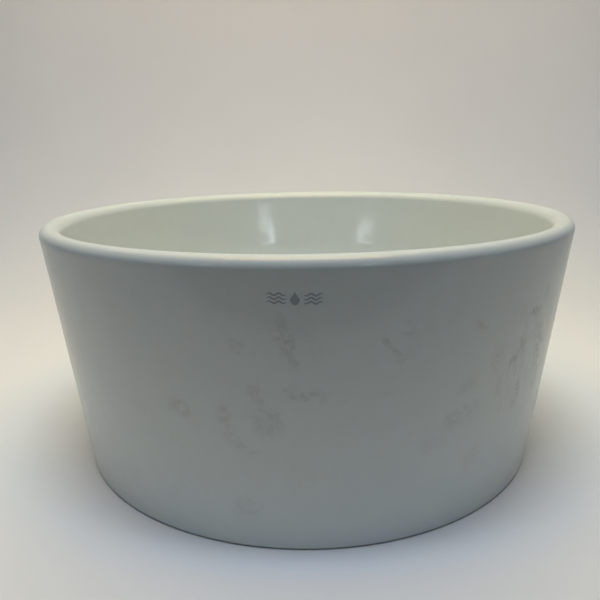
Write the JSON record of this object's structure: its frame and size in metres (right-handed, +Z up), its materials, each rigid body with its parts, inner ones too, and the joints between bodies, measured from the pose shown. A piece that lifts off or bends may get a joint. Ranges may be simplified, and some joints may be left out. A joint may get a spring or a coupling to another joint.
{
  "type": "countertop washbasin",
  "caption": "Round countertop washbasin in thick satin ceramic with slightly flared walls and a hollow base, with a push-button waste and ceramic cap.",
  "frame": {"origin": "centre of the foot ring, on the plane that the basin rests on", "axes": "+Z up along the axis of the bowl and waste, -Y towards the front"},
  "size_m": [0.3999, 0.4, 0.18],
  "materials": {
    "basin_glaze": "satin pale sage-white sanitary glaze",
    "cap_glaze": "satin pale sage-white sanitary glaze",
    "chromed_brass": "bright chrome over brass",
    "turned_brass": "machined brass",
    "stainless": "turned stainless steel",
    "spring_steel": "drawn stainless wire",
    "acetal": "natural acetal plastic",
    "silicone": "translucent grey silicone",
    "rubber_seal": "matt black moulded rubber"
  },
  "bodies": {
    "basin": {"ceramic_basin": "basin_glaze", "waste_body": "chromed_brass", "cartridge_barrel": "turned_brass", "spring_seat": "turned_brass", "return_spring": "spring_steel", "flange_gasket": "rubber_seal", "tapered_seal": "rubber_seal", "slip_washer": "acetal", "backnut": "chromed_brass"},
    "plug": {"spindle": "stainless", "cap_carrier": "turned_brass", "lock_nut": "turned_brass", "cap_seal": "silicone", "ceramic_cap": "cap_glaze"},
    "rotor": {"cam_rotor": "acetal"}
  },
  "joints": [
    {"name": "cap_press", "type": "slide", "parent": "basin", "child": "plug", "axis": [0, 0, 1], "range_m": [-0.008, 0], "stiffness_N_per_m": 1000, "springref_m": 0.005, "deforming": ["return_spring"]},
    {"name": "rotor_turn", "type": "hinge", "parent": "plug", "child": "rotor", "pos_m": [0, 0, 0.045], "axis": [0, 0, 1], "range_deg": [0, 45]}
  ],
  "couplings": [
    {"joint": "rotor_turn", "follows": "cap_press", "rad_per_m": -98.17}
  ]
}
